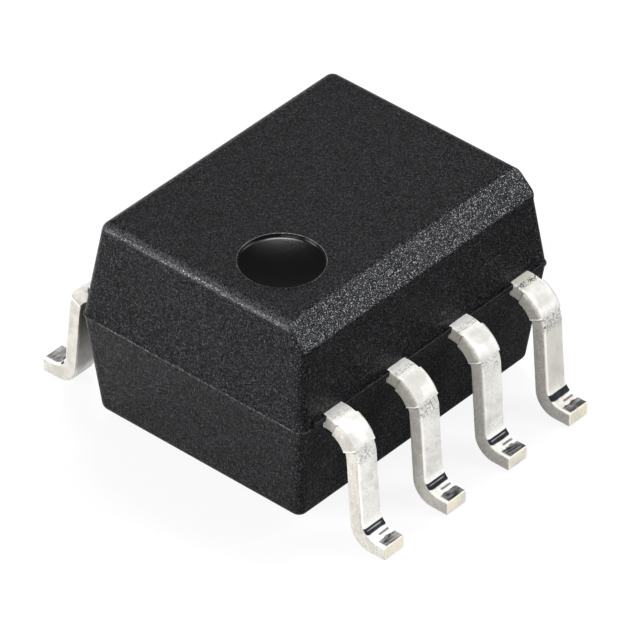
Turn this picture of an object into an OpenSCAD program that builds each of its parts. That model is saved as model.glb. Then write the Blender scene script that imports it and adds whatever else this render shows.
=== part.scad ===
// Eight-lead small-outline package for surface mounting, the tall form used for
// optically coupled chips. The seating plane is z = 0 and the origin is the centre
// of the footprint. The body's length runs along X and the leads leave it along Y.
// Leads 1 to 4 are on the -Y side, counted towards +X, and 5 to 8 come back along +Y.

/* [Moulded body] */
// Distance from the middle of an outer lead to the body's end
end_l = 0.625; // [0.5:0.005:0.8]
// Width of the body at the parting line
body_w = 3.94; // [3.8:0.02:4.3]
// Height of the half above the parting line
upper_h = 1.53; // [1.4:0.01:1.8]
// Height of the half below the parting line
lower_h = 1.62; // [1.2:0.01:1.8]
// Gap between the seating plane and the underside
standoff = 0.16; // [0.1:0.01:0.3]
// Draft angle of the upper walls
upper_draft_angle = 7; // [4:0.5:10]
// Draft angle of the lower walls
lower_draft_angle = 6; // [4:0.5:10]
// Radius along the top edges, also where the bevel meets the top
top_edge_r = 0.16; // [0.06:0.01:0.2]
// Radius along the bottom edges
bottom_edge_r = 0.12; // [0.06:0.01:0.2]
// Radius of the upright corners
corner_r = 0.14; // [0.06:0.01:0.2]
// Height of the bevel along the top edge over leads 1 to 4
bevel_h = 0.38; // [0.25:0.01:0.5]
// How far the bevel cuts into the top face
bevel_w = 0.28; // [0.2:0.01:0.5]
// Radius that softens the bevel's lower edge
bevel_r = 0.04; // [0.02:0.01:0.08]

/* [Mould marks] */
// Height of the fin of resin at the parting line
fin_h = 0.03; // [0.02:0.005:0.06]
// How far the fin stands out
fin_out = 0.012; // [0.006:0.002:0.03]
// Height of the resin ledge between the leads
ledge_h = 0.08; // [0.04:0.01:0.1]
// How far the ledge's top lies below the leads' tops
ledge_drop = 0.01; // [0.005:0.005:0.03]
// How far the ledge stands out
ledge_out = 0.045; // [0.02:0.005:0.08]
// Distance from the body's end to the ledge's end
ledge_inset = 0.2; // [0.1:0.01:0.4]
// Diameter of the round mark beside lead 1
dimple_d = 1.19; // [0.8:0.01:1.3]
// Depth of the mark's upright wall
dimple_wall = 0.05; // [0.02:0.01:0.1]
// How much deeper the mark's curved floor is at its middle
dimple_dish = 0.05; // [0.02:0.01:0.1]
// Distance from the top face's end to the mark
dimple_end_gap = 0.38; // [0.2:0.01:0.6]
// Distance from the bevel's upper edge to the mark
dimple_bevel_gap = 0.33; // [0.1:0.01:0.5]
// Diameter of the ejector pin mark in the underside
ejector_d = 1.2; // [0.8:0.1:1.6]
// Depth of the ejector pin mark
ejector_depth = 0.03; // [0.02:0.01:0.06]

/* [Leads] */
// Distance between neighbouring leads
lead_pitch = 1.27; // [1.2:0.01:1.3]
// Width of a lead
lead_w = 0.4; // [0.3:0.01:0.5]
// Thickness of the lead frame
lead_t = 0.22; // [0.15:0.01:0.25]
// How far a lead's tip stands out from the body's side
lead_reach = 1.09; // [1.02:0.01:1.2]
// Length of the foot from the corner of its top face to the tip
foot_l = 0.38; // [0.33:0.01:0.45]
// How far the leg leans out from upright
leg_splay_angle = 5; // [2:0.5:8]
// Outer radius of the bend at the shoulder
shoulder_r = 0.58; // [0.5:0.01:0.6]
// Radius of the heel under the foot
heel_r = 0.34; // [0.25:0.01:0.4]
// Radius of the hollow above the foot
instep_r = 0.24; // [0.15:0.01:0.28]
// How far the sheared stub of the dam bar stands out on each side
dam_out = 0.03; // [0.01:0.005:0.06]
// Angle round the shoulder bend where the stub starts, up from level
dam_from_angle = 25; // [20:1:30]
// Angle round the shoulder bend that the stub covers
dam_sweep_angle = 44; // [20:1:50]

/* [Lead frame inside] */
// Clear gap between the emitter's pad and the detector's pad
isolation_gap = 0.4; // [0.3:0.01:0.5]
// Distance from the body's middle to the middle of that gap, towards leads 1 to 4
isolation_y = 0.1; // [0:0.01:0.2]
// Length of the emitter's pad
emitter_pad_l = 0.95; // [0.8:0.01:1]
// Width of the emitter's pad
emitter_pad_w = 0.7; // [0.5:0.01:0.75]
// Length of the detector's pad
detector_pad_l = 1.7; // [1.5:0.01:1.8]
// Width of the detector's pad
detector_pad_w = 0.9; // [0.8:0.01:0.95]
// Distance from the body's middle to the middle of the detector's pad, towards leads 4 and 5
detector_x = 0.1; // [0:0.01:0.2]
// Clear gap between a pad and the end of a neighbouring finger
finger_gap = 0.24; // [0.2:0.01:0.3]
// Width of a finger's anchor head
anchor_w = 0.7; // [0.5:0.01:0.8]
// Length of a finger's anchor head
anchor_l = 0.25; // [0.15:0.01:0.3]
// How far the unconnected leads reach into the body
anchor_reach = 0.85; // [0.7:0.01:0.9]

/* [Chips and wires] */
// Width and length of the square light emitting chip
emitter_w = 0.34; // [0.25:0.01:0.4]
// Height of the light emitting chip
emitter_h = 0.2; // [0.12:0.01:0.25]
// Length of the detector chip
detector_l = 1; // [0.8:0.01:1.1]
// Width of the detector chip
detector_w = 0.64; // [0.5:0.01:0.7]
// Height of the detector chip
detector_h = 0.25; // [0.15:0.01:0.3]
// Thickness of the adhesive under a chip
glue_t = 0.03; // [0.02:0.005:0.05]
// How far the adhesive shows round a chip
glue_rim = 0.04; // [0.02:0.01:0.05]
// Diameter of the bonding wire
wire_d = 0.03; // [0.02:0.005:0.04]
// Rise of a wire's loop as a share of its span
wire_rise_ratio = 0.28; // [0.2:0.01:0.32]
// Diameter of the ball where a wire is bonded to a chip
ball_d = 0.09; // [0.07:0.01:0.1]
// Height of that ball
ball_h = 0.025; // [0.015:0.005:0.03]
// Distance from a chip's edge to the centre of a ball
ball_inset = 0.08; // [0.06:0.01:0.1]
// Distance between the balls of the two wires to leads 6 and 7
bond_pitch = 0.6; // [0.3:0.01:0.8]
// Distance from the edge of a lead frame piece to where a wire lands on it
landing_inset = 0.09; // [0.07:0.01:0.12]
// Radius of the clear dome's rim
dome_r = 1.5; // [1.4:0.01:1.55]
// Height of the clear dome
dome_h = 0.8; // [0.75:0.01:1]
// How far the clear gel sinks into the gaps of the lead frame
gel_sink = 0.05; // [0.02:0.01:0.1]

/* [Hidden] */
$fn = 64;
resin = [0.13, 0.13, 0.14];
tin = [0.8, 0.79, 0.76];
silicon = [0.35, 0.37, 0.42];
crystal = [0.55, 0.35, 0.25];
silver_glue = [0.65, 0.65, 0.66];
gold = [0.9, 0.7, 0.25];
clear_gel = [0.85, 0.9, 0.95, 0.4];
// Number of leads in a row
columns = 4;
// Length of the body at the parting line
body_l = (columns - 1) * lead_pitch + 2 * end_l;
// Distance between the tips of opposite leads
lead_span = body_w + 2 * lead_reach;
// Half the length and half the width of the block's top, before the bevel
top_half_l = body_l / 2 - upper_h * tan(upper_draft_angle);
top_half_w = body_w / 2 - upper_h * tan(upper_draft_angle);
// Heights of the parting line, the top and the lead frame's faces
parting_z = standoff + lower_h;
top_z = parting_z + upper_h;
frame_top = parting_z + lead_t / 2;
frame_bottom = parting_z - lead_t / 2;
// Cutting shapes run past what they cut by this much
over = 0.5;
// Turn from one facet of a rounding to the next
facet_angle = 10;
// The formed part of a lead laps over its finger inside the body by this much
lap = 0.1;
// A wire's arc runs past both of its ends by this angle, and is trimmed there
wire_spare_angle = 3;
// Edges of the two pads that face each other across the gap
emitter_pad_y = -isolation_y - isolation_gap / 2;
detector_pad_y = -isolation_y + isolation_gap / 2;
// Left edge of the emitter's pad, and the edges of the detector's pad
emitter_left = lead_x(3) + lead_w / 2 - emitter_pad_l;
detector_left = detector_x - detector_pad_l / 2;
detector_right = detector_x + detector_pad_l / 2;
detector_far_y = detector_pad_y + detector_pad_w;
// Middles of the two pads, which carry the chips
emitter_at = [emitter_left + emitter_pad_l / 2, emitter_pad_y - emitter_pad_w / 2];
detector_at = [detector_x, detector_pad_y + detector_pad_w / 2];
// Where the fingers of leads 6 and 7 end, and where the arm of lead 8 ends
signal_finger_y = detector_far_y + finger_gap;
supply_arm_x = detector_left - finger_gap;
emitter_top = frame_top + glue_t + emitter_h;
detector_top = frame_top + glue_t + detector_h;
// The dome stands over the middle of everything that it covers
dome_at = [(supply_arm_x - landing_inset + detector_right) / 2,
    (emitter_at[1] - lead_w / 2 + signal_finger_y + landing_inset) / 2];

function unit(v) = v / norm(v);
// Lead n stands on the -Y side up to the number of columns, and on the +Y side after it
function side_of(n) = n <= columns ? -1 : 1;
function column_of(n) = n <= columns ? n - 1 : 2 * columns - n;
function lead_x(n) = (column_of(n) - (columns - 1) / 2) * lead_pitch;
function cross_z(u, v) = u[0] * v[1] - u[1] * v[0];
// Half the angle between the two edges that meet at p
function half_angle(a, p, b) = acos(unit(a - p) * unit(b - p)) / 2;
// Points round a circle from one angle through a sweep, a facet every facet_angle degrees
function arc(centre, r, from, sweep) = let (steps = ceil(abs(sweep) / facet_angle))
    [for (k = [0 : steps]) centre + r * [cos(from + sweep * k / steps), sin(from + sweep * k / steps)]];
// The corner at p between its neighbours a and b, as an arc that touches both edges
function round_corner(a, p, b, r) = let (
    half = half_angle(a, p, b),
    touch = p + unit(a - p) * r / tan(half),
    centre = p + unit(unit(a - p) + unit(b - p)) * r / sin(half),
    turn = sign(cross_z(p - a, b - p)) * (180 - 2 * half))
    arc(centre, r, atan2(touch[1] - centre[1], touch[0] - centre[0]), turn);
// An outline whose corners are rounded, each by its own radius, where 0 leaves it sharp
function rounded(points, radii) = let (count = len(points))
    [for (i = [0 : count - 1])
        for (q = radii[i] > 0
            ? round_corner(points[(i + count - 1) % count], points[i], points[(i + 1) % count], radii[i])
            : [points[i]]) q];

// One half of the body as a block with drafted walls, standing on z = 0, with edges of
// radius r. The two side views are cut from long bars that cross each other.
module drafted_half(height, draft, r, bevelled) {
    lean = height * tan(draft);
    half_l = body_l / 2;
    half_w = body_w / 2;
    side_view = rounded([[half_l, 0], [half_l - lean, height], [lean - half_l, height],
        [-half_l, 0]], [0, r, r, 0]);
    end_view = bevelled
        ? rounded([[half_w, 0], [half_w - lean, height], [bevel_w + lean - half_w, height],
            [lean - half_w - bevel_h * tan(draft), height - bevel_h], [-half_w, 0]],
            [0, r, r, bevel_r, 0])
        : rounded([[half_w, 0], [half_w - lean, height], [lean - half_w, height],
            [-half_w, 0]], [0, r, r, 0]);
    difference() {
        intersection() {
            rotate([90, 0, 0])
                linear_extrude(body_w + 2 * over, center = true) polygon(side_view);
            rotate([90, 0, 90])
                linear_extrude(body_l + 2 * over, center = true) polygon(end_view);
        }
        for (mx = [0, 1], my = [0, 1])
            mirror([mx, 0, 0]) mirror([0, my, 0]) corner_cutter(height, draft);
    }
}

// What rounds one upright corner: a bar along the leaning corner line, whose inner
// side is the arc that touches both drafted walls
module corner_cutter(height, draft) {
    slope = tan(draft);
    tilt = atan(sqrt(2) * slope);
    wall_turn = atan(1 / sqrt(1 + 2 * slope * slope));
    centre = [-corner_r / cos(wall_turn), 0];
    reach = 2 * corner_r + over;
    translate([body_l / 2, body_w / 2, 0])
        rotate([0, -tilt, 45])
            translate([0, 0, -over])
                linear_extrude(height + 2 * over)
                    polygon(concat(arc(centre, corner_r, wall_turn, -2 * wall_turn), [
                        centre + reach * [cos(wall_turn), -sin(wall_turn)],
                        centre + reach * [cos(wall_turn), sin(wall_turn)]]));
}

// The thin fin of resin all round the parting line
module parting_fin() {
    half_l = body_l / 2 + fin_out;
    half_w = body_w / 2 + fin_out;
    corners = [[half_l, half_w], [-half_l, half_w], [-half_l, -half_w], [half_l, -half_w]];
    translate([0, 0, parting_z - fin_h / 2])
        linear_extrude(fin_h) polygon(rounded(corners, [for (c = corners) corner_r]));
}

// Resin that ran out between the leads as far as the dam bar, nearly level with their tops
module ledges() {
    translate([ledge_inset - body_l / 2, -body_w / 2 - ledge_out,
        frame_top - ledge_drop - ledge_h])
        cube([body_l - 2 * ledge_inset, body_w + 2 * ledge_out, ledge_h]);
}

// The round mark: an upright wall and a shallow dished floor
module dimple() {
    half_d = dimple_d / 2;
    bowl_r = (half_d * half_d + dimple_dish * dimple_dish) / (2 * dimple_dish);
    translate([dimple_end_gap + half_d - top_half_l,
        bevel_w + dimple_bevel_gap + half_d - top_half_w, top_z - dimple_wall]) {
        cylinder(h = dimple_wall + over, r = half_d);
        intersection() {
            translate([0, 0, bowl_r - dimple_dish]) sphere(bowl_r, $fn = 128);
            translate([0, 0, -dimple_dish - over]) cylinder(h = dimple_dish + over, r = half_d);
        }
    }
}

module ejector_mark() {
    translate([0, 0, standoff - over])
        cylinder(h = ejector_depth + over, r = ejector_d / 2);
}

module body() {
    color(resin)
        difference() {
            union() {
                translate([0, 0, parting_z])
                    drafted_half(upper_h, upper_draft_angle, top_edge_r, true);
                translate([0, 0, parting_z]) mirror([0, 0, 1])
                    drafted_half(lower_h, lower_draft_angle, bottom_edge_r, false);
                parting_fin();
                ledges();
            }
            dimple();
            ejector_mark();
            for (n = [1 : 2 * columns]) lead(n);
            dome_blank();
        }
}

// Side view of one lead outside the body, y outwards and z up. The leg's outer face
// passes through the corner at the foot's top, and its inner face is parallel to it.
// Both faces of the shoulder bend turn round one centre.
module lead_profile() {
    lean = tan(leg_splay_angle);
    tip = lead_span / 2;
    leg_y = tip - foot_l;
    leg_t = lead_t / cos(leg_splay_angle);
    outer = function (z) leg_y - (z - lead_t) * lean;
    root = body_w / 2 - lap;
    polygon(rounded([
        [root, frame_bottom],
        [outer(frame_bottom) - leg_t, frame_bottom],
        [outer(0) - leg_t, 0],
        [tip, 0],
        [tip, lead_t],
        [leg_y, lead_t],
        [outer(frame_top), frame_top],
        [root, frame_top]],
        [0, shoulder_r - lead_t, heel_r, 0, 0, instep_r, shoulder_r, 0]));
}

// The sheared stub of the dam bar: a sector of the shoulder bend, a little wider
module dam_stub() {
    lean = tan(leg_splay_angle);
    corner_y = lead_span / 2 - foot_l - (frame_top - lead_t) * lean;
    bend_half = (90 - leg_splay_angle) / 2;
    centre = [corner_y - shoulder_r * tan(bend_half), frame_top - shoulder_r];
    reach = shoulder_r + over;
    intersection() {
        lead_profile();
        translate(centre)
            polygon([[0, 0], reach * [cos(dam_from_angle), sin(dam_from_angle)],
                reach * [cos(dam_from_angle + dam_sweep_angle), sin(dam_from_angle + dam_sweep_angle)]]);
    }
}

// The formed part of a lead on the +Y side at x = 0
module formed_lead() {
    rotate([90, 0, 90]) {
        linear_extrude(lead_w, center = true) lead_profile();
        linear_extrude(lead_w + 2 * dam_out, center = true) dam_stub();
    }
}

// A plate of the lead frame between two corners, seen from above
module plate(from, to) {
    low = [min(from[0], to[0]), min(from[1], to[1])];
    high = [max(from[0], to[0]), max(from[1], to[1])];
    translate([low[0], low[1], frame_bottom])
        cube([high[0] - low[0], high[1] - low[1], lead_t]);
}

// A straight finger from the body's side in to inner_y, with the lead's own width
module finger(n, inner_y) {
    x = lead_x(n);
    plate([x - lead_w / 2, inner_y], [x + lead_w / 2, side_of(n) * body_w / 2]);
}

// An unconnected lead ends in a wider head that locks it into the resin
module anchor(n) {
    inner_y = side_of(n) * (body_w / 2 - anchor_reach);
    finger(n, inner_y);
    plate([lead_x(n) - anchor_w / 2, inner_y],
        [lead_x(n) + anchor_w / 2, inner_y + side_of(n) * anchor_l]);
}

module lead_inside(n) {
    if (n == 1 || n == 4) anchor(n);
    // Its finger passes beside the emitter's pad and takes the emitter's wire
    if (n == 2) {
        finger(n, emitter_at[1]);
        plate([lead_x(n) - lead_w / 2, emitter_at[1]],
            [emitter_left - finger_gap, emitter_at[1] - lead_w]);
    }
    // It carries the emitter's pad
    if (n == 3) {
        finger(n, emitter_at[1]);
        plate([emitter_left, emitter_pad_y],
            [emitter_left + emitter_pad_l, emitter_pad_y - emitter_pad_w]);
    }
    // Its arm turns along the body and carries the detector's pad
    if (n == 5) {
        finger(n, detector_at[1] - lead_w / 2);
        plate([detector_right - lap, detector_at[1] - lead_w / 2],
            [lead_x(n) + lead_w / 2, detector_at[1] + lead_w / 2]);
        plate([detector_left, detector_pad_y], [detector_right, detector_far_y]);
    }
    if (n == 6 || n == 7) finger(n, signal_finger_y);
    // Its arm turns along the body and stops short of the detector's pad
    if (n == 8) {
        finger(n, detector_at[1] - lead_w / 2);
        plate([lead_x(n) - lead_w / 2, detector_at[1] - lead_w / 2],
            [supply_arm_x, detector_at[1] + lead_w / 2]);
    }
}

module lead(n) {
    color(tin)
        union() {
            translate([lead_x(n), 0, 0])
                if (side_of(n) > 0) formed_lead();
                else mirror([0, 1, 0]) formed_lead();
            lead_inside(n);
        }
}

module chip(at, size) {
    translate([at[0] - size[0] / 2, at[1] - size[1] / 2, frame_top + glue_t]) cube(size);
}

module adhesive(at, size) {
    translate([at[0] - size[0] / 2 - glue_rim, at[1] - size[1] / 2 - glue_rim, frame_top])
        cube([size[0] + 2 * glue_rim, size[1] + 2 * glue_rim, glue_t]);
}

module emitter_chip() {
    color(crystal) chip(emitter_at, [emitter_w, emitter_w, emitter_h]);
}

module emitter_adhesive() {
    color(silver_glue) adhesive(emitter_at, [emitter_w, emitter_w, emitter_h]);
}

module detector_chip() {
    color(silicon) chip(detector_at, [detector_l, detector_w, detector_h]);
}

module detector_adhesive() {
    color(silver_glue) adhesive(detector_at, [detector_l, detector_w, detector_h]);
}

// A bonding wire from a ball on a chip at p to a stitch on the lead frame at q: an arc
// in the upright plane through both ends, trimmed level where it lands
module bond_wire(p, q) {
    along = q - p;
    run = norm([along[0], along[1]]);
    chord = norm(along);
    rise = wire_rise_ratio * chord;
    r = (chord * chord / 4 + rise * rise) / (2 * rise);
    half = asin(chord / (2 * r)) + wire_spare_angle;
    trim = 2 * ball_d;
    color(gold)
        union() {
            difference() {
                translate((p + q) / 2)
                    rotate([0, 0, atan2(along[1], along[0])])
                        rotate([0, -atan2(along[2], run), 0])
                            translate([0, 0, rise - r])
                                rotate([90, 0, 0])
                                    rotate([0, 0, 90 - half])
                                        rotate_extrude(angle = 2 * half)
                                            translate([r, 0]) circle(wire_d / 2, $fn = 24);
                for (end = [p, q])
                    translate(end - [0, 0, trim / 2]) cube(trim, center = true);
            }
            translate(p) cylinder(h = ball_h, r = ball_d / 2, $fn = 32);
        }
}

// A point on the detector chip's top face, from the chip's middle
function on_detector(x, y) = [detector_at[0] + x, detector_at[1] + y, detector_top];
function on_frame(x, y) = [x, y, frame_top];

module emitter_wire() {
    bond_wire([emitter_at[0], emitter_at[1], emitter_top],
        on_frame(lead_x(2), emitter_at[1] - lead_w / 2));
}

module ground_wire() {
    start = on_detector(detector_l / 2 - ball_inset, ball_inset - detector_w / 2);
    bond_wire(start, on_frame(detector_right - landing_inset, start[1]));
}

// A wire from the detector's far edge to the end of a finger, at along from the chip's middle
module signal_wire(n, along) {
    bond_wire(on_detector(along, detector_w / 2 - ball_inset),
        on_frame(lead_x(n), signal_finger_y + landing_inset));
}

module output_wire() {
    signal_wire(6, bond_pitch / 2);
}

module enable_wire() {
    signal_wire(7, -bond_pitch / 2);
}

module supply_wire() {
    bond_wire(on_detector(ball_inset - detector_l / 2, 0),
        on_frame(supply_arm_x - landing_inset, detector_at[1]));
}

// The dome's outside: a cap of a sphere on the lead frame, and below it the gel that
// has sunk between the frame's pieces
module dome_blank() {
    r = (dome_r * dome_r + dome_h * dome_h) / (2 * dome_h);
    translate([dome_at[0], dome_at[1], frame_top])
        union() {
            intersection() {
                translate([0, 0, dome_h - r]) sphere(r, $fn = 128);
                cylinder(h = dome_h + over, r = dome_r + over);
            }
            translate([0, 0, -gel_sink]) cylinder(h = gel_sink, r = dome_r);
        }
}

module light_dome() {
    color(clear_gel)
        difference() {
            dome_blank();
            for (n = [1 : 2 * columns]) lead(n);
            emitter_chip();
            emitter_adhesive();
            detector_chip();
            detector_adhesive();
            emitter_wire();
            ground_wire();
            output_wire();
            enable_wire();
            supply_wire();
        }
}

body();
lead(1);  // lead_1
lead(2);  // lead_2
lead(3);  // lead_3
lead(4);  // lead_4
lead(5);  // lead_5
lead(6);  // lead_6
lead(7);  // lead_7
lead(8);  // lead_8
emitter_chip();
emitter_adhesive();
detector_chip();
detector_adhesive();
emitter_wire();
ground_wire();
output_wire();
enable_wire();
supply_wire();
light_dome();
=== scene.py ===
import math

import bpy
import numpy as np
from mathutils import Matrix, Vector


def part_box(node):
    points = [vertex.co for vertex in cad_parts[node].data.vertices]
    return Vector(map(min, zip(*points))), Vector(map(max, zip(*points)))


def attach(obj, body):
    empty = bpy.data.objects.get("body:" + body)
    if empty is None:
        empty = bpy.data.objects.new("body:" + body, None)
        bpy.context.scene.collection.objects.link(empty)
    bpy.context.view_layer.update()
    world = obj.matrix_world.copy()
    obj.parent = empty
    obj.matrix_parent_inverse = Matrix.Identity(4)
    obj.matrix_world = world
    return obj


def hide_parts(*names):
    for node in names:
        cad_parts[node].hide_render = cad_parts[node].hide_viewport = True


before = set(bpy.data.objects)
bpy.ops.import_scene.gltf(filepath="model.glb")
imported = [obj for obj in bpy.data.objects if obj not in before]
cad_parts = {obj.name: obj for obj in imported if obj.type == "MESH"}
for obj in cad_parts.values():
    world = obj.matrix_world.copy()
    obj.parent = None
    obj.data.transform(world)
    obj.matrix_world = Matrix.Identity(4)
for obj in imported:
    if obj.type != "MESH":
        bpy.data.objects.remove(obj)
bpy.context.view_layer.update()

# A chip in a black resin body on two rows of four tinned leads, on a white studio floor

# Shapes are worked out in millimetres and go into the meshes in metres
MM = 0.001

# Body: where the parting line, the underside and the top are, and its half sizes there
box = [np.array(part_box("body")[end]) / MM for end in (0, 1)]
FIN_OUT = 0.012
HALF_L = box[1][0] - FIN_OUT
LEDGE_OUT = 0.045
HALF_W = box[1][1] - LEDGE_OUT
UNDERSIDE_Z = box[0][2]
TOP_Z = box[1][2]
UPPER_H = 1.53
PARTING_Z = TOP_Z - UPPER_H
LOWER_DRAFT = math.radians(6)
UPPER_DRAFT = math.radians(7)
CORNER_R = 0.14
BEVEL_H = 0.38
BEVEL_W = 0.28
# How far an edge's rounding reaches from the sharp corner, first down the wall and then
# along the flat face
BOTTOM_EDGE = (0.11, 0.11)
TOP_EDGE = (0.145, 0.17)
BEVEL_LOW_EDGE = (0.03, 0.03)
BEVEL_HIGH_EDGE = (0.05, 0.06)
BEVEL_END_R = 0.06
# The smallest corner radius in plan, on the top's far side and elsewhere
LEAST_FAR_R = 0.06
LEAST_R = 0.012

# Mould marks
FIN_H = 0.03
LEDGE_H = 0.08
LEDGE_DROP = 0.01
LEDGE_INSET = 0.2
LEDGE_SOFT = 0.006
DIMPLE_R = 0.589
DIMPLE_WALL = 0.05
DIMPLE_DISH = 0.05
DIMPLE_END_GAP = 0.386
DIMPLE_BEVEL_GAP = 0.336
RIM_R = 0.011
RIM_LIP = 0.004
DIMPLE_FOOT_R = 0.018
EJECTOR_R = 0.6
EJECTOR_DEPTH = 0.03
EJECTOR_RIM_R = 0.01
EJECTOR_LIP = 0.002
EJECTOR_FOOT_R = 0.01

# Leads
PITCH = 1.27
LEAD_W = 0.4
LEAD_T = 0.22
HALF_LEAD = LEAD_W / 2
TIP_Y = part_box("lead_5")[1][1] / MM
FOOT_L = 0.38
SPLAY = math.radians(5)
SHOULDER_R = 0.58
HEEL_R = 0.34
INSTEP_R = 0.24
# The dam bar's stub: how far it stands out, and where it lies round the shoulder, in degrees
STUB_OUT = 0.03
STUB_FROM = 25
STUB_SWEEP = 44
# Radii of the strip's edges, at its outer and inner face and round the tip
LEAD_EDGE_OUTER = 0.05
LEAD_EDGE_INNER = 0.03
TIP_EDGE = 0.02
FRAME_TOP = PARTING_Z + LEAD_T / 2
FRAME_BOTTOM = PARTING_Z - LEAD_T / 2
ROOT_Y = HALF_W - 0.1
SHOULDER_Y = (TIP_Y - FOOT_L - (FRAME_TOP - LEAD_T) * math.tan(SPLAY)
              - SHOULDER_R * math.tan((math.pi / 2 - SPLAY) / 2))
SHOULDER_Z = FRAME_TOP - SHOULDER_R
LEAN = math.tan(SPLAY)
# Where the leg's face towards the body would meet the foot's top
INNER_Y = TIP_Y - FOOT_L - LEAD_T / math.cos(SPLAY)
STUB_END = math.radians(STUB_FROM)
STUB_TOP = math.radians(STUB_FROM + STUB_SWEEP)

# The top before its edges are rounded, and the middle of the dimple
TOP_HALF_L = HALF_L - UPPER_H * math.tan(UPPER_DRAFT)
TOP_HALF_W = HALF_W - UPPER_H * math.tan(UPPER_DRAFT)
DIMPLE_X = DIMPLE_END_GAP + DIMPLE_R - TOP_HALF_L
DIMPLE_Y = BEVEL_W + DIMPLE_BEVEL_GAP + DIMPLE_R - TOP_HALF_W


# Mesh helpers
SHARP_ANGLE = math.radians(40)


def loft(rings):
    """A closed skin: rings[i, j] is point j of ring i. Neighbouring rings are joined by
    quads, and a fan to its middle closes the first and the last ring. The faces are
    turned round if the volume inside them comes out negative."""
    count, around = rings.shape[:2]
    points = np.concatenate([rings.reshape(-1, 3), rings[:1].mean(1), rings[-1:].mean(1)])
    i, j = np.meshgrid(np.arange(count - 1), np.arange(around), indexing="ij")
    k = (j + 1) % around
    quads = np.stack([i * around + j, i * around + k, (i + 1) * around + k, (i + 1) * around + j], -1)
    quads = quads.reshape(-1, 4)
    edge = np.arange(around)
    following = (edge + 1) % around
    last = (count - 1) * around
    first_fan = np.stack([np.full(around, count * around), following, edge], -1)
    last_fan = np.stack([np.full(around, count * around + 1), last + edge, last + following], -1)
    fans = np.concatenate([first_fan, last_fan])
    corners = points[np.concatenate([quads[:, :3], quads[:, [0, 2, 3]], fans])]
    volume = np.einsum("ij,ij->", corners[:, 0], np.cross(corners[:, 1], corners[:, 2]))
    if volume < 0:
        quads, fans = quads[:, ::-1], fans[:, ::-1]
    return points, quads, fans


def make_piece(name, shells, material, node):
    """One object of closed shells that stands for a CAD node."""
    points, faces, start = [], [], 0
    for shell_points, quads, fans in shells:
        points.append(shell_points)
        faces += (quads + start).tolist() + (fans + start).tolist()
        start += len(shell_points)
    mesh = bpy.data.meshes.new(name)
    mesh.from_pydata((np.concatenate(points) * MM).tolist(), [], faces)
    mesh.polygons.foreach_set("use_smooth", np.ones(len(mesh.polygons), bool))
    mesh.set_sharp_from_angle(angle=SHARP_ANGLE)
    mesh.materials.append(material)
    obj = bpy.data.objects.new(name, mesh)
    bpy.context.scene.collection.objects.link(obj)
    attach(obj, "root")
    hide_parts(node)


def outline(half_x, near, far, near_r, far_r, along, across, corner_steps):
    """Plan outlines of rings, one row each, counter-clockwise: a straight side, then an
    arc round the corner, four times. The ends stand at x = -half_x and half_x, and the
    long sides at y = -near and far. along and across give the places of the points on
    a side from 0 to 1."""
    rows = [np.asarray(v, float)[:, None] for v in (half_x, near, far, near_r, far_r)]
    half_x, near, far, near_r, far_r = rows
    turn = np.linspace(0, math.pi / 2, corner_steps + 1)[None, :]
    sides = []
    corners = [(half_x - near_r, near_r - near, near_r, -math.pi / 2),
               (half_x - far_r, far - far_r, far_r, 0),
               (far_r - half_x, far - far_r, far_r, math.pi / 2),
               (near_r - half_x, near_r - near, near_r, math.pi)]
    for number, (x, y, r, start) in enumerate(corners):
        places = (along if number % 2 == 0 else across)[None, :]
        px, py, pr = corners[number - 1][:3]
        begin = (px + pr * math.cos(start), py + pr * math.sin(start))
        end = (x + r * math.cos(start), y + r * math.sin(start))
        sides.append(np.stack([begin[c] + (end[c] - begin[c]) * places for c in (0, 1)], -1))
        sides.append(np.stack([x + r * np.cos(start + turn), y + r * np.sin(start + turn)], -1))
    return np.concatenate(sides, 1)


# Body
EDGE_STEPS = 200


def side_line(corners, reaches):
    """A line down a side, as rows of distance and height: every corner but the first
    and the last turns into a conic, ((1-t)^2 A + 2t(1-t) w C + t^2 B) over the sum of
    its weights, from A on the side before the corner C to B on the side after it. The
    weight w is that of a circle's arc where both reaches are alike."""
    t = np.linspace(0, 1, EDGE_STEPS)[:, None]
    rows = [corners[:1]]
    for before, corner, after, (low, high) in zip(corners, corners[1:], corners[2:], reaches):
        into = (before - corner) / np.linalg.norm(before - corner)
        out_of = (after - corner) / np.linalg.norm(after - corner)
        weight = math.sqrt((1 - float(into @ out_of)) / 2)
        parts = (1 - t) ** 2, 2 * t * (1 - t) * weight, t ** 2
        ends = corner + into * low, corner, corner + out_of * high
        rows.append(sum(p * e for p, e in zip(parts, ends)) / sum(parts))
    return np.concatenate(rows)


def wall_line(half, height, draft, edge):
    """The line up a drafted wall that stands half from the middle, and round its edge."""
    top = half - height * math.tan(draft)
    return side_line(np.array([[half, 0], [top, height], [0, height]]), [edge])


def near_line():
    """The line up the bevelled side: wall, lower bevel edge, bevel, upper bevel edge."""
    foot = HALF_W - (UPPER_H - BEVEL_H) * math.tan(UPPER_DRAFT)
    return side_line(np.array([[HALF_W, 0], [foot, UPPER_H - BEVEL_H], [TOP_HALF_W - BEVEL_W, UPPER_H],
                               [0, UPPER_H]]), [BEVEL_LOW_EDGE, BEVEL_HIGH_EDGE])


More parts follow.
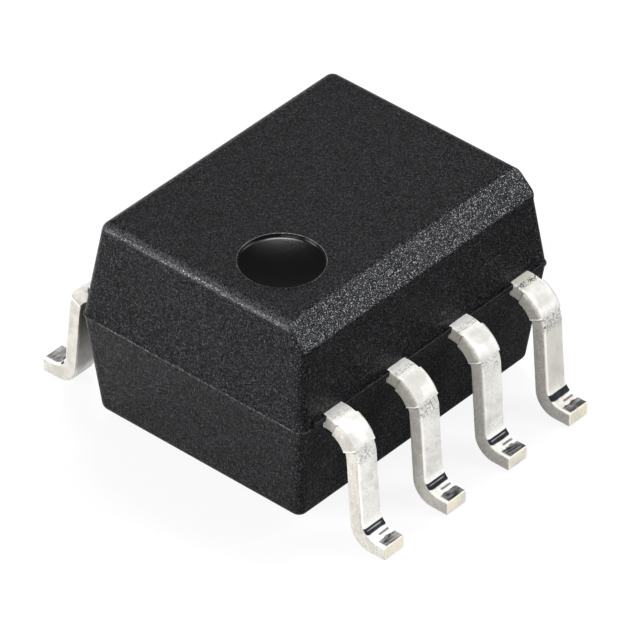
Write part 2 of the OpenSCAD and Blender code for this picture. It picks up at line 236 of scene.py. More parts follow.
def round_mark(face_z, sign, r, wall, dish, rim, lip, foot):
    """Profile of a round mark from the flat face to its middle, as radius and height: a
    low lip round the rim, the rim's quarter arc, the upright wall, the arc at its foot,
    and a floor that sinks with the square of the distance from the wall."""
    turn = np.linspace(0, math.pi / 2, 7)
    swell = np.linspace(0, math.pi, 9)[:-1]
    radius = np.concatenate([
        r + rim + rim * (1 - swell / math.pi),
        r + rim * (1 - np.sin(turn)),
        r - foot * (1 - np.cos(turn)),
        np.linspace(r - foot, 0.02, 16)[1:]])
    depth = np.concatenate([
        -lip * np.sin(swell),
        rim * (1 - np.cos(turn)),
        wall - foot * (1 - np.sin(turn)),
        np.full(15, wall)])
    depth = depth + dish * np.where(radius < r, 1 - np.minimum(radius / r, 1) ** 2, 0)
    return radius, face_z - sign * depth


def body_shell():
    """The moulded block as one skin of rings: the ejector pin mark's middle, the
    underside, the lower edge arc, the drafted wall, the fin, the ledges between the
    leads, the upper wall with the bevel on its near side, the top, the dimple."""
    lower_h = PARTING_Z - UNDERSIDE_Z
    low_l = wall_line(HALF_L, lower_h, LOWER_DRAFT, BOTTOM_EDGE)
    low_w = wall_line(HALF_W, lower_h, LOWER_DRAFT, BOTTOM_EDGE)
    high_l = wall_line(HALF_L, UPPER_H, UPPER_DRAFT, TOP_EDGE)
    high_w = wall_line(HALF_W, UPPER_H, UPPER_DRAFT, TOP_EDGE)
    near_w = near_line()
    low_edge = low_l[1:, 1][np.linspace(EDGE_STEPS - 1, 0, 15).astype(int)]
    high_edge = high_l[1:, 1][np.linspace(0, EDGE_STEPS - 1, 21).astype(int)]
    below = np.concatenate([low_edge, np.linspace(low_edge[-1], FIN_H / 2, 22)[1:]])
    ledge_top = LEAD_T / 2 - LEDGE_DROP
    ledge_bottom = ledge_top - LEDGE_H
    bevel_z = UPPER_H - BEVEL_H
    above = np.concatenate([
        [FIN_H / 2, (FIN_H / 2 + ledge_bottom) / 2, ledge_bottom],
        np.linspace(ledge_bottom, ledge_top, 5), [ledge_top],
        np.linspace(ledge_top, bevel_z - 0.06, 18)[1:],
        np.linspace(bevel_z - 0.055, bevel_z + 0.055, 16),
        np.linspace(bevel_z + 0.06, high_edge[0], 8)[:-1],
        high_edge])
    fin_turn = np.linspace(-math.pi / 2, math.pi / 2, 9)
    fin = np.cos(fin_turn)
    fin_z = FIN_H / 2 * np.sin(fin_turn)

    def at_heights(line, heights):
        return np.interp(heights, line[:, 1], line[:, 0])

    low_x, low_y = at_heights(low_l, below), at_heights(low_w, below)
    high_x, high_y = at_heights(high_l, above), at_heights(high_w, above)
    shrink_low = HALF_L - low_x - below * math.tan(LOWER_DRAFT)
    shrink_high = HALF_L - high_x - above * math.tan(UPPER_DRAFT)
    near_r = np.interp(above, [0, bevel_z - 0.06, bevel_z + 0.05], [CORNER_R, CORNER_R, BEVEL_END_R])
    z = np.concatenate([PARTING_Z - below, PARTING_Z + fin_z, PARTING_Z + above])
    half_x = np.concatenate([low_x, HALF_L + FIN_OUT * fin, high_x])
    far = np.concatenate([low_y, HALF_W + FIN_OUT * fin, high_y])
    near = np.concatenate([low_y, HALF_W + FIN_OUT * fin, at_heights(near_w, above)])
    low_r = np.maximum(CORNER_R - shrink_low, LEAST_R)
    fin_r = np.full(len(fin), CORNER_R)
    near_corner = np.concatenate([low_r, fin_r, np.maximum(near_r - shrink_high, LEAST_R)])
    far_corner = np.concatenate([low_r, fin_r, np.maximum(CORNER_R - shrink_high, LEAST_FAR_R)])

    # Points along the long sides, with a pair at each end of the ledge
    straight = HALF_L - CORNER_R
    ledge_end = (1 - (HALF_L - LEDGE_INSET) / straight) / 2
    along = np.concatenate([[ledge_end / 2, ledge_end - 0.001],
                            np.linspace(ledge_end, 1 - ledge_end, 97),
                            [1 - ledge_end + 0.001, 1 - ledge_end / 2]])
    across = np.linspace(0, 1, 74)[1:-1]
    corner_steps = 10
    plan = outline(half_x, near, far, near_corner, far_corner, along, across, corner_steps)
    rings = np.concatenate([plan, np.repeat(z[:, None, None], plan.shape[1], 1)], 2)

    # The ledge: the middle points of both long sides stand out between its two heights
    first = len(below) + len(fin) + 3
    side_count = len(along) + corner_steps + 1 + len(across) + corner_steps + 1
    middle = np.arange(2, len(along) - 2)
    ledge_y = HALF_W + LEDGE_OUT - LEDGE_SOFT * np.array([1, 0, 0, 0, 1])
    rings[first:first + 5, middle, 1] = -ledge_y[:, None]
    rings[first:first + 5, middle + side_count, 1] = ledge_y[:, None]

    def to_circle(edge, centre, profile, steps):
        """Flat rings that turn the outline into a circle along lines through its
        centre, then the round mark's rings from the rim to the middle."""
        offset = edge[:, :2] - centre
        spoke = offset / np.linalg.norm(offset, axis=1)[:, None]
        radius, height = profile
        circle = centre + spoke * radius[0]
        share = steps[:, None, None]
        flat = edge[None, :, :2] * (1 - share) + circle[None] * share
        flat = np.concatenate([flat, np.full(flat.shape[:2] + (1,), height[0])], 2)
        mark = centre + spoke[None] * radius[:, None, None]
        mark = np.concatenate([mark, np.repeat(height[:, None, None], mark.shape[1], 1)], 2)
        return np.concatenate([flat, mark])

    steps = np.array([0.01, 0.2, 0.5, 0.8, 0.97])
    dimple = round_mark(TOP_Z, 1, DIMPLE_R, DIMPLE_WALL, DIMPLE_DISH, RIM_R, RIM_LIP, DIMPLE_FOOT_R)
    ejector = round_mark(UNDERSIDE_Z, -1, EJECTOR_R, EJECTOR_DEPTH, 0, EJECTOR_RIM_R, EJECTOR_LIP,
                         EJECTOR_FOOT_R)
    top = to_circle(rings[-1], np.array([DIMPLE_X, DIMPLE_Y]), dimple, steps)
    underside = to_circle(rings[0], np.array([0.0, 0.0]), ejector, steps)[::-1]
    return loft(np.concatenate([underside, rings, top]))


# Leads
def bend(centre, r, start, end, count):
    """Points round an arc, between two angles in degrees."""
    turn = np.radians(np.linspace(start, end, count))
    return np.stack([centre[0] + r * np.cos(turn), centre[1] + r * np.sin(turn)], -1)


def lead_faces():
    """The lead's outer and inner face in side view, y outwards and z up, as two rows of
    matched points: level root, shoulder bend round one centre, splayed leg, the hollow
    over the foot and the heel below it, which turn by the same angle, and the foot."""
    splay = math.degrees(SPLAY)
    leg_y = TIP_Y - FOOT_L
    leg_t = LEAD_T / math.cos(SPLAY)
    touch = math.tan((math.pi / 2 - SPLAY) / 2)
    centre = (SHOULDER_Y, SHOULDER_Z)
    heel_y = leg_y + LEAD_T * LEAN - leg_t
    stub = [90, STUB_FROM + STUB_SWEEP, STUB_FROM + STUB_SWEEP, STUB_FROM, STUB_FROM, splay]
    counts = [16, 2, 18, 2, 12]
    turns = np.concatenate([np.linspace(stub[k], stub[k + 1], counts[k]) for k in range(5)])
    stub_on = np.concatenate([np.zeros(17), np.ones(20), np.zeros(13)])
    spread = np.radians(turns)
    ray = np.stack([np.cos(spread), np.sin(spread)], -1)
    bends = [np.array(centre) + ray * r for r in (SHOULDER_R, SHOULDER_R - LEAD_T)]
    hollow = bend((leg_y + INSTEP_R * touch, LEAD_T + INSTEP_R), INSTEP_R, 180 + splay, 270, 30)
    heel = bend((heel_y + HEEL_R * touch, HEEL_R), HEEL_R, 180 + splay, 270, 30)
    rows = []
    for curve, lower, level in ((bends[0], hollow, FRAME_TOP), (bends[1], heel, FRAME_BOTTOM)):
        root = np.linspace([ROOT_Y, level], curve[0], 6)[:-1]
        leg = np.linspace(curve[-1], lower[0], 22)[1:-1]
        foot = np.linspace(lower[-1], [TIP_Y - TIP_EDGE, lower[-1][1]], 10)[1:]
        rows.append(np.concatenate([root, curve, leg, lower, foot]))
    widen = np.concatenate([np.zeros(5), stub_on, np.zeros(len(rows[0]) - 5 - len(stub_on))])
    return rows[0], rows[1], widen


def lead_shell(n):
    """The formed part of lead n: a rectangle with rounded corners carried along the two
    faces, wider over the dam bar's stub, and closed at the tip by an edge arc."""
    outer, inner, widen = lead_faces()
    half = HALF_LEAD + STUB_OUT * widen
    turn = np.linspace(0, math.pi / 2, 6)[1:]
    shrink = TIP_EDGE * (1 - np.cos(turn))
    reach = TIP_EDGE * np.sin(turn)
    tip_outer = np.stack([outer[-1, 0] + reach, outer[-1, 1] - shrink], -1)
    tip_inner = np.stack([inner[-1, 0] + reach, inner[-1, 1] + shrink], -1)
    outer = np.concatenate([outer, tip_outer])
    inner = np.concatenate([inner, tip_inner])
    half = np.concatenate([half, HALF_LEAD - shrink])
    thick = np.linalg.norm(outer - inner, axis=1)
    count = len(half)
    soft = np.concatenate([np.ones(count - 5), 1 - 0.3 * np.sin(turn)])
    section = outline(half, np.zeros(count), thick, LEAD_EDGE_INNER * soft, LEAD_EDGE_OUTER * soft,
                      np.linspace(0, 1, 16)[1:-1], np.linspace(0, 1, 9)[1:-1], 6)
    rise = (outer - inner) / thick[:, None]
    side_view = inner[:, None] + rise[:, None] * section[:, :, 1:]
    x = lead_x(n) + section[:, :, 0]
    return loft(np.stack([x, side_of(n) * side_view[:, :, 0], side_view[:, :, 1]], -1))


def side_of(n):
    return -1 if n <= 4 else 1


def lead_x(n):
    return ((n - 1 if n <= 4 else 8 - n) - 1.5) * PITCH


# The lead frame's pads, fingers and arms inside the body, with the CAD model's sizes
PLATE_EDGE = 0.01
PLATE_CORNER_R = 0.04
FINGER_LAP = 0.05
PAD_GAP_Y = -0.1
HALF_PAD_GAP = 0.2
EMITTER_PAD_L = 0.95
EMITTER_PAD_W = 0.7
DETECTOR_PAD_L = 1.7
DETECTOR_PAD_W = 0.9
DETECTOR_PAD_X = 0.1
FRAME_GAP = 0.24
ARM_LAP = 0.1
ANCHOR_L = 0.85
ANCHOR_HALF_W = 0.35
ANCHOR_HEAD_L = 0.25
EMITTER_PAD_Y = PAD_GAP_Y - HALF_PAD_GAP
DETECTOR_PAD_Y = PAD_GAP_Y + HALF_PAD_GAP
EMITTER_LEFT = lead_x(3) + HALF_LEAD - EMITTER_PAD_L
EMITTER_MIDDLE_Y = EMITTER_PAD_Y - EMITTER_PAD_W / 2
DETECTOR_LEFT = DETECTOR_PAD_X - DETECTOR_PAD_L / 2
DETECTOR_RIGHT = DETECTOR_PAD_X + DETECTOR_PAD_L / 2
DETECTOR_MIDDLE_Y = DETECTOR_PAD_Y + DETECTOR_PAD_W / 2
FINGER_END_Y = DETECTOR_PAD_Y + DETECTOR_PAD_W + FRAME_GAP


def plate(x0, x1, y0, y1):
    """A stamped plate of the lead frame inside the body: its plan outline with rounded
    corners, drawn in a little at both faces."""
    levels = np.array([0, PLATE_EDGE, LEAD_T - PLATE_EDGE, LEAD_T])
    inset = PLATE_EDGE * np.array([1, 0, 0, 1])
    middle = np.array([(x0 + x1) / 2, (y0 + y1) / 2])
    half = np.array([abs(x1 - x0) / 2, abs(y1 - y0) / 2])
    r = np.full(4, PLATE_CORNER_R)
    few = np.linspace(0, 1, 6)[1:-1]
    plan = outline(half[0] - inset, half[1] - inset, half[1] - inset, r, r, few, few, 4) + middle
    z = np.repeat((FRAME_BOTTOM + levels)[:, None, None], plan.shape[1], 1)
    return loft(np.concatenate([plan, z], 2))


def finger(n, inner_y):
    """Lead n's strip from inner_y out to its formed part."""
    x = lead_x(n)
    return plate(x - HALF_LEAD, x + HALF_LEAD, inner_y, side_of(n) * (ROOT_Y + FINGER_LAP))


def anchor(n):
    """A short finger with a wide head, which holds an unconnected lead in the resin."""
    x, y = lead_x(n), side_of(n) * (HALF_W - ANCHOR_L)
    head = plate(x - ANCHOR_HALF_W, x + ANCHOR_HALF_W, y, y + side_of(n) * ANCHOR_HEAD_L)
    return [finger(n, y), head]


def detector_arm(x0, x1):
    """A strip along the detector's pad, as wide as a lead."""
    return plate(x0, x1, DETECTOR_MIDDLE_Y - HALF_LEAD, DETECTOR_MIDDLE_Y + HALF_LEAD)


INSIDE = {
    1: anchor(1),
    2: [finger(2, EMITTER_MIDDLE_Y),
        plate(lead_x(2) - HALF_LEAD, EMITTER_LEFT - FRAME_GAP, EMITTER_MIDDLE_Y - LEAD_W,
              EMITTER_MIDDLE_Y)],
    3: [finger(3, EMITTER_MIDDLE_Y),
        plate(EMITTER_LEFT, EMITTER_LEFT + EMITTER_PAD_L, EMITTER_PAD_Y - EMITTER_PAD_W,
              EMITTER_PAD_Y)],
    4: anchor(4),
    5: [finger(5, DETECTOR_MIDDLE_Y - HALF_LEAD),
        detector_arm(DETECTOR_RIGHT - ARM_LAP, lead_x(5) + HALF_LEAD),
        plate(DETECTOR_LEFT, DETECTOR_RIGHT, DETECTOR_PAD_Y, DETECTOR_PAD_Y + DETECTOR_PAD_W)],
    6: [finger(6, FINGER_END_Y)],
    7: [finger(7, FINGER_END_Y)],
    8: [finger(8, DETECTOR_MIDDLE_Y - HALF_LEAD),
        detector_arm(lead_x(8) - HALF_LEAD, DETECTOR_LEFT - FRAME_GAP)],
}


# Shader maths
class Socket:
    """An output of a shader node that takes part in Python's arithmetic."""

    def __init__(self, graph, out):
        self.graph, self.out = graph, out

    def math(self, operation, *values):
        return self.graph.add("Math", {"operation": operation}, dict(enumerate(values)))

    def __add__(self, other): return self.math("ADD", self, other)
    def __radd__(self, other): return self.math("ADD", other, self)
    def __sub__(self, other): return self.math("SUBTRACT", self, other)
    def __rsub__(self, other): return self.math("SUBTRACT", other, self)
    def __mul__(self, other): return self.math("MULTIPLY", self, other)
    def __rmul__(self, other): return self.math("MULTIPLY", other, self)
    def __pow__(self, other): return self.math("POWER", self, other)
    def __abs__(self): return self.math("ABSOLUTE", self)
    def at_least(self, other): return self.math("MAXIMUM", self, other)
    def at_most(self, other): return self.math("MINIMUM", self, other)


class Graph:
    """A material's or the world's node tree."""

    def __init__(self, owner):
        owner.use_nodes = True
        self.owner, self.tree = owner, owner.node_tree
        self.tree.nodes.clear()

    def add(self, kind, settings=None, values=None, output=0):
        """Adds one node: its settings first, then the values or links of its inputs."""
        node = self.tree.nodes.new("ShaderNode" + kind)
        for key, value in (settings or {}).items():
            setattr(node, key, value)
        for key, value in (values or {}).items():
            if isinstance(value, Socket):
                self.tree.links.new(value.out, node.inputs[key])
            else:
                node.inputs[key].default_value = value
        return Socket(self, node.outputs[output]) if node.outputs else None

    def place(self):
        return self.add("TexCoord", output="Object")

    def axes(self, vector):
        node = self.add("SeparateXYZ", None, {0: vector}).out.node
        return [Socket(self, out) for out in node.outputs]

    def rays(self, *kinds):
        """For each kind of ray, a socket that is 1 when such a ray looks and else 0."""
        outputs = self.tree.nodes.new("ShaderNodeLightPath").outputs
        return [Socket(self, outputs["Is %s Ray" % kind]) for kind in kinds]

    def noise(self, vector, scale, detail, rough):
        return self.add("TexNoise", None, {"Vector": vector, "Scale": scale, "Detail": detail,
                                           "Roughness": rough})

    def fade(self, value, low, high, to_low=0.0, to_high=1.0):
        """A smooth step of value from low to high."""
        return self.add("MapRange", {"interpolation_type": "SMOOTHSTEP", "clamp": True},
                        {0: value, 1: low, 2: high, 3: to_low, 4: to_high})

    def band(self, value, low, high, soft):
        """1 between low and high, falling to 0 over soft outside them."""
        return self.fade(value, low - soft, low) * self.fade(value, high, high + soft, 1.0, 0.0)

    def fade_mm(self, value, low, high, *to):
        """The same step of a length, with low and high in millimetres."""
        return self.fade(value, low * MM, high * MM, *to)

    def band_mm(self, value, low, high, soft):
        """The same band of a length, in millimetres."""
        return self.band(value, low * MM, high * MM, soft * MM)

    def mix(self, share, a, b):
        return self.add("Mix", {"data_type": "RGBA", "clamp_factor": True},
                        {0: share, 6: a, 7: b}, output=2)

    def layers(self, base, *rows):
        """Lays colours over the base one after another. A row is a share and a colour."""
        for share, colour in rows:
            base = self.mix(share, base, colour)
        return base

    def stretch(self, vector, scale, rotation=(0, 0, 0)):
        return self.add("Mapping", None, {"Vector": vector, "Scale": scale, "Rotation": rotation})

    def bump(self, height, distance):
        return self.add("Bump", None, {"Height": height, "Distance": distance, "Strength": 1.0})

    def surface(self, **values):
        names = {key.replace("_", " "): value for key, value in values.items()}
        shader = self.add("BsdfPrincipled", None, names)
        self.add("OutputMaterial", None, {"Surface": shader})
        return self.owner


def new_graph(name):
    return Graph(bpy.data.materials.new(name))


def rgb(r, g, b):
    return (r, g, b, 1.0)


def grey(level):
    return rgb(level, level, level)


# Materials
def resin_material():
    """Matte moulding resin: a fine spark-eroded grain of two tones with faint mottling and
    glossy pale flecks, with painted highlights along the top edges of both ends, along the
    parting fin and on the ledges' upper edges. The round mark is polished, nearly black and
    without grain, inside a painted highlight line round its rim."""
    g = new_graph("moulding_resin")
    at = g.place()
    x, y, z = g.axes(at)
    grain = g.fade(g.noise(at, 42000, 1.0, 0.5), 0.45, 0.55)
    coarse = g.noise(at, 24000, 2.0, 0.5)
    mottle = g.noise(at, 2200, 3.0, 0.6)
    fleck = g.fade(g.noise(at, 62000, 1.0, 0.5), 0.59, 0.68)

    # The round mark: its floor, all of it that is polished, and a painted highlight line round its rim
    dx = x - DIMPLE_X * MM
    dy = y - DIMPLE_Y * MM
    away = (dx * dx + dy * dy) ** 0.5
    on_top = g.fade_mm(z, TOP_Z - 0.2, TOP_Z - 0.15)
    floor = g.fade_mm(away, DIMPLE_R - 0.012, DIMPLE_R + 0.012, 1.0, 0.0) * on_top
    polish = g.fade_mm(away, DIMPLE_R + RIM_R, DIMPLE_R + 1.6 * RIM_R, 1.0, 0.0) * on_top
    rim = g.band_mm(away, DIMPLE_R + 0.6 * RIM_R, DIMPLE_R + RIM_R, 0.003) * on_top
    # Painted highlights on the rounded edges over both ends, along the parting fin, and on the ledges'
    # upper edges
    painted_ridge_highlight = g.fade_mm(abs(x), TOP_HALF_L - 0.12, TOP_HALF_L - 0.05) * g.fade_mm(
        z, TOP_Z - 0.15, TOP_Z - 0.08)
    # Painted highlight lines along the parting fin and on the ledges' upper edges
    painted_fin_highlight = g.band_mm(z, PARTING_Z - 0.012, PARTING_Z + 0.012, 0.006)
    lip = g.fade_mm(abs(y), HALF_W + 0.03, HALF_W + 0.04) * g.fade_mm(
        z, FRAME_TOP - 0.022, FRAME_TOP - 0.012)

    base = g.layers(
        g.mix(grain, grey(0.0001), rgb(0.0088, 0.0088, 0.0099)),
        (mottle * 0.25, rgb(0.004, 0.004, 0.0045)),
        (fleck * 0.5 * (1 - floor), rgb(0.13, 0.13, 0.145)),
        # painted highlight along the rounded edges over both ends
        (painted_ridge_highlight * (0.2 + 0.8 * grain), rgb(0.06, 0.06, 0.067)),
        # painted highlight along the parting fin and the ledges' upper edges
        (painted_fin_highlight * (0.1 + 0.45 * grain) + lip * 0.5, rgb(0.11, 0.11, 0.115)),
        # painted highlight line round the dimple's rim
        (rim * (0.3 + 0.6 * grain), rgb(0.2, 0.2, 0.21)),
        (floor, rgb(0.001, 0.001, 0.0011)))
    rough = g.fade(coarse, 0.35, 0.65, 0.22, 0.36) * (1 - floor) + floor * 0.18
    height = (grain * 0.35 + coarse * 0.7) * (1 - floor * 0.95)
    return g.surface(Base_Color=base, Roughness=rough, Normal=g.bump(height, 1.5e-5),
                     Specular_IOR_Level=0.10, Coat_Weight=polish * 0.32 + fleck * (1 - polish),
                     Coat_Roughness=0.16)


# Places of the marks on the leads in millimetres: Z is the height, OUT the distance from
# the plane between the two rows, ALONG the distance from a lead's own middle
# The burnished marks below are painted dark as a reflection
STRIP_Z = (0.268, 0.326)
LINE_Z = (0.299, 0.303)
LINE_ALONG = (-0.13, 0.10)
LOW_STRIP_OUT = (2.815, 2.835)
LOW_STRIP_ALONG = (-0.02, 0.13)
HOLLOW_OUT = (2.60, 2.64)
# Just under the foot's top face, and where the smooth patch starts on a near and a far lead
FOOT_TOP_Z = 0.2
FOOT_PATCH_OUT = 2.89
FAR_PATCH_MORE = 0.14
SCUFF_Z = (1.40, 1.54)
SCUFF_OUT = (2.46, 2.50)
CREASE_Z = (1.84, 1.86)
CREASE_OUT = (2.09, 2.14)
# Where painted shade over the shoulder bend tones down its highlight
SHOULDER_SHADE_Z = (1.42, 1.55)
SHOULDER_SHADE_OUT = (2.19, 2.26)
# Leads 4 and 5 lie beyond this x. They are scuffed more and lack the light line
END_LEADS_X = (1.0, 1.2)


def tin_material():
    """Satin tin plating on a stamped and bent strip, with a fine matte grain, soft clouds
    and painted highlights along the edges of its faces. Burnished tool marks are painted
    near black as a dark reflection: a strip with a light line in it across the hollow, a
    fainter one below it, and a wiped patch on the foot. Specks scuff the shoulder, and
    painted shade over the shoulder bend tones down its highlight. Lead 4 is darker away
    from its edges. The sheared sides are dull, streaked along the cut and darker on the far
    row as painted shade, with painted shade at both ends of the dam bar's stub and a
    painted highlight under its lower end. The face towards the body has painted shade,
    darker towards the top, and the cut across the tip is cream."""
    g = new_graph("tin_plating")
    at = g.place()
    x, y, z = g.axes(at)
    out = abs(y)
    along = g.add("Math", {"operation": "FLOORED_MODULO"}, {0: x, 1: PITCH * MM}) - PITCH / 2 * MM
    from_middle = abs(along)
    dy = out - SHOULDER_Y * MM
    dz = z - SHOULDER_Z * MM
    turn = dz.math("ARCTAN2", dz, dy)
    far = g.fade_mm(y, -0.1, 0.1)
    side = g.fade_mm(from_middle, HALF_LEAD - 0.014, HALF_LEAD - 0.004)
    face = 1 - side
    # Near the strip's side edges, where the faces get a painted highlight
    edge = g.fade_mm(from_middle, HALF_LEAD - 0.045, HALF_LEAD - 0.03)
    cloud = g.noise(at, 1800, 3.0, 0.6)
    patch = g.noise(at, 5200, 3.0, 0.6)
    grain = g.noise(at, 36000, 2.0, 0.6)
    speck = g.fade(g.noise(at, 38000, 2.0, 0.7), 0.47, 0.60)
    stipple = g.fade(g.noise(at, 30000, 3.0, 0.7), 0.5, 0.62)
    streak = g.noise(g.stretch(at, (1.0, 1.0, 0.15)), 36000, 2.0, 0.6)
    wipe = g.fade(g.noise(g.stretch(at, (0.15, 1.0, 1.0)), 26000, 2.0, 0.6), 0.38, 0.62)
    cut = g.noise(g.stretch(at, (1.0, 1.0, 0.25), (0.0, 0.9, 0.0)), 30000, 2.0, 0.5)
    wobble = (patch - 0.5) * (0.05 * MM)

    # Burnished marks across the hollow, painted dark as a reflection: a strip with a light line in it,
    # and a fainter one
    strip = g.band_mm(z + wobble * 0.3, *STRIP_Z, 0.012) * g.fade_mm(out, *HOLLOW_OUT) * face
    line = g.band_mm(z, *LINE_Z, 0.007) * g.band_mm(along, *LINE_ALONG, 0.05) * g.fade_mm(
        x, *END_LEADS_X, 1.0, 0.0)
    low_strip = g.band_mm(out + wobble * 0.4, *LOW_STRIP_OUT, 0.012) * g.band_mm(
        along, *LOW_STRIP_ALONG, 0.04) * g.fade_mm(z, FOOT_TOP_Z, FOOT_TOP_Z + 0.015)
    # The smooth patch on the foot, at the tip in front and over the whole foot behind
    patch_from = FOOT_PATCH_OUT * MM - far * (FAR_PATCH_MORE * MM)
    foot = g.fade_mm(out + wobble * 2.6 - patch_from, 0.0, 0.014)
    foot = foot * g.fade_mm(out, TIP_Y - 0.014, TIP_Y - 0.006, 1.0, 0.0)
    foot = foot * g.fade_mm(along, -0.17, -0.13)
    foot = foot * g.fade_mm(z, FOOT_TOP_Z, FOOT_TOP_Z + 0.014) * g.fade_mm(z, 0.24, 0.26, 1.0, 0.0)
    wiped = wipe * 0.3 + g.fade(patch, 0.3, 0.6, 0.5, 0.7)
    # Burnished marks, painted near black as a dark reflection, lighter along the line
    smooth_painted_reflection = strip * (1 - line * 0.4) + low_strip * 0.7 + foot * wiped * (1 - far * 0.2)
    # Scuffs where the shoulder bend ends and close to the body
    density = g.fade(cloud, 0.4, 0.6, 0.35, 1.0)
    scuff = g.band_mm(z + wobble, *SCUFF_Z, 0.08) * g.fade_mm(out, *SCUFF_OUT) * speck * density
    crease = g.band_mm(out + wobble, *CREASE_OUT, 0.03) * g.fade_mm(z, *CREASE_Z) * speck
    scuff = (scuff + crease * 0.8) * face * g.fade_mm(x, *END_LEADS_X, 0.5, 1.5)
    # The sheared side: by the body, the stub, painted shade at the steps at its ends, a painted
    # highlight under the lower end, and the tip
    inner = g.fade(turn, STUB_TOP - 0.01, STUB_TOP + 0.01) * g.fade_mm(z, 1.45, 1.5)
    stub = g.fade_mm(from_middle, HALF_LEAD + 0.012, HALF_LEAD + 0.018)
    painted_step_shade = g.band(turn, STUB_TOP - 0.01, STUB_TOP + 0.03, 0.01) + g.band(
        turn, STUB_END - 0.05, STUB_END - 0.01, 0.01)
    painted_glint = g.band(turn, STUB_END + 0.005, STUB_END + 0.035, 0.01)
    tip = g.fade_mm(out, TIP_Y - 0.012, TIP_Y - 0.004)
    # Depth below the face towards the body, along the leg and round the shoulder bend
    in_leg = out - INNER_Y * MM + (z - LEAD_T * MM) * LEAN
    in_bend = (dy * dy + dz * dz) ** 0.5 - (SHOULDER_R - LEAD_T) * MM
    above = g.fade_mm(dz, -0.01, 0.01)
    depth = in_leg * (1 - above) + in_bend * above
    # Painted shade on the face towards the body, stronger towards the top
    painted_inner_shade = g.fade_mm(depth, 0.012, 0.02, 1.0, 0.0) * g.fade_mm(z, 0.25, 0.4) * g.fade_mm(
        z + wobble * 3.0, 0.3, 1.4, 0.4, 1.0)

    # Painted shade over the shoulder bend, which tones down its highlight
    bend = g.fade_mm(out, *SHOULDER_SHADE_OUT) * g.fade_mm(z, *SHOULDER_SHADE_Z)
    # Lead 4 is darker away from its edges
    lead_4_darker = g.fade_mm(x, 1.3, 1.6) * (1 - far) * (1 - edge)
    side_stipple = stipple * side * g.fade_mm(x, -1.5, 1.5, 0.28, 0.4) * (1 - far * 0.8)
    base = g.layers(
        g.mix(cloud, rgb(0.87, 0.855, 0.82), rgb(0.94, 0.93, 0.90)),
        (g.fade(grain, 0.56, 0.68) * 0.3, rgb(0.62, 0.60, 0.57)),
        (stipple * face * (1 - edge) * 0.25, rgb(0.60, 0.58, 0.55)),
        # painted highlight along the edges of the faces
        (edge * face, rgb(0.98, 0.97, 0.94)),
        (lead_4_darker * 0.5, rgb(0.70, 0.67, 0.61)),
        # painted shade over the shoulder bend
        (bend * 0.85, rgb(0.75, 0.74, 0.71)),
        # the sheared sides' own dull tone, darker on the far row as painted shade
        (side, g.mix(far, rgb(0.70, 0.685, 0.65), rgb(0.61, 0.595, 0.56))),
        (side * g.fade(streak, 0.45, 0.65) * 0.4, rgb(0.58, 0.55, 0.50)),
        (side * inner * (0.2 + 0.35 * speck) + stub * 0.15, rgb(0.48, 0.44, 0.40)),
        (side_stipple, rgb(0.38, 0.36, 0.32)),
        # painted shade at both ends of the stub
        (painted_step_shade * side * 0.6, rgb(0.22, 0.19, 0.16)),
        # painted highlight under the stub's lower end
        (painted_glint * side, rgb(0.95, 0.94, 0.91)),
        # painted shade on the face towards the body
        (painted_inner_shade, rgb(0.12, 0.11, 0.09)),
        (tip * (0.5 + 0.4 * g.fade(cut, 0.45, 0.6)), rgb(0.94, 0.89, 0.77)),
        (scuff, rgb(0.15, 0.16, 0.18)),
        # near black on the burnished marks, a painted dark reflection
        (smooth_painted_reflection, rgb(0.035, 0.038, 0.046)))
    rough = g.fade(patch * 0.6 + cloud * 0.4, 0.38, 0.62, 0.72, 1.0) + side * 0.04 - smooth_painted_reflection * 0.1
    height = grain * 0.5 + streak * side * 0.8
    return g.surface(Base_Color=base, Roughness=rough.at_most(1.0), Metallic=1.0,
                     Normal=g.bump(height, 3e-6))


def fine_material(name, low, high, scale, bump, rough_low, rough_high, **more):
    """A finish with two tones mixed by fine noise, which also gives its roughness and
    relief."""
    g = new_graph(name)
    at = g.place()
    grain = g.noise(at, scale, 3.0, 0.6)
    rough = g.fade(grain, 0.3, 0.7, rough_low, rough_high)
    return g.surface(Base_Color=g.mix(grain, low, high), Roughness=rough,
                     Normal=g.bump(grain, bump), **more)


resin = resin_material()
tin = tin_material()
crystal = fine_material("emitter_crystal", rgb(0.22, 0.09, 0.05), rgb(0.36, 0.18, 0.1),
                        20000, 1e-6, 0.2, 0.35)
silicon = fine_material("polished_silicon", rgb(0.07, 0.08, 0.11), rgb(0.13, 0.14, 0.17),
                        9000, 1e-6, 0.12, 0.22)
silver_glue = fine_material("silver_adhesive", rgb(0.38, 0.38, 0.39), rgb(0.6, 0.6, 0.6),
                            26000, 4e-6, 0.4, 0.6, Metallic=0.5)
gold = fine_material("bonding_gold", rgb(0.78, 0.52, 0.16), rgb(0.88, 0.64, 0.25),
                     30000, 1e-6, 0.2, 0.3, Metallic=1.0)
gel = fine_material("silicone_gel", rgb(0.82, 0.85, 0.87), rgb(0.9, 0.92, 0.94),
                    5000, 2e-6, 0.05, 0.1, Alpha=0.35)

make_piece("moulded_body", [body_shell()], resin, "body")
for n in range(1, 9):
    make_piece("formed_lead_%d" % n, [lead_shell(n)] + INSIDE[n], tin, "lead_%d" % n)

INNER_FINISH = {
    "emitter_chip": crystal,
    "emitter_adhesive": silver_glue,
    "detector_chip": silicon,
    "detector_adhesive": silver_glue,
    "emitter_wire": gold,
    "ground_wire": gold,
    "output_wire": gold,
    "enable_wire": gold,
    "supply_wire": gold,
    "light_dome": gel,
}
for node, material in INNER_FINISH.items():
    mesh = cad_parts[node].data
    mesh.materials.clear()
    mesh.materials.append(material)


# Floor and surroundings
FLOOR_HALF = 300.0
FLOOR_Z = -0.004
# How much of the floor is its own white, to the camera and in mirrors
SEEN_SHARE = 0.88
GLOSS_SHARE = 0.12
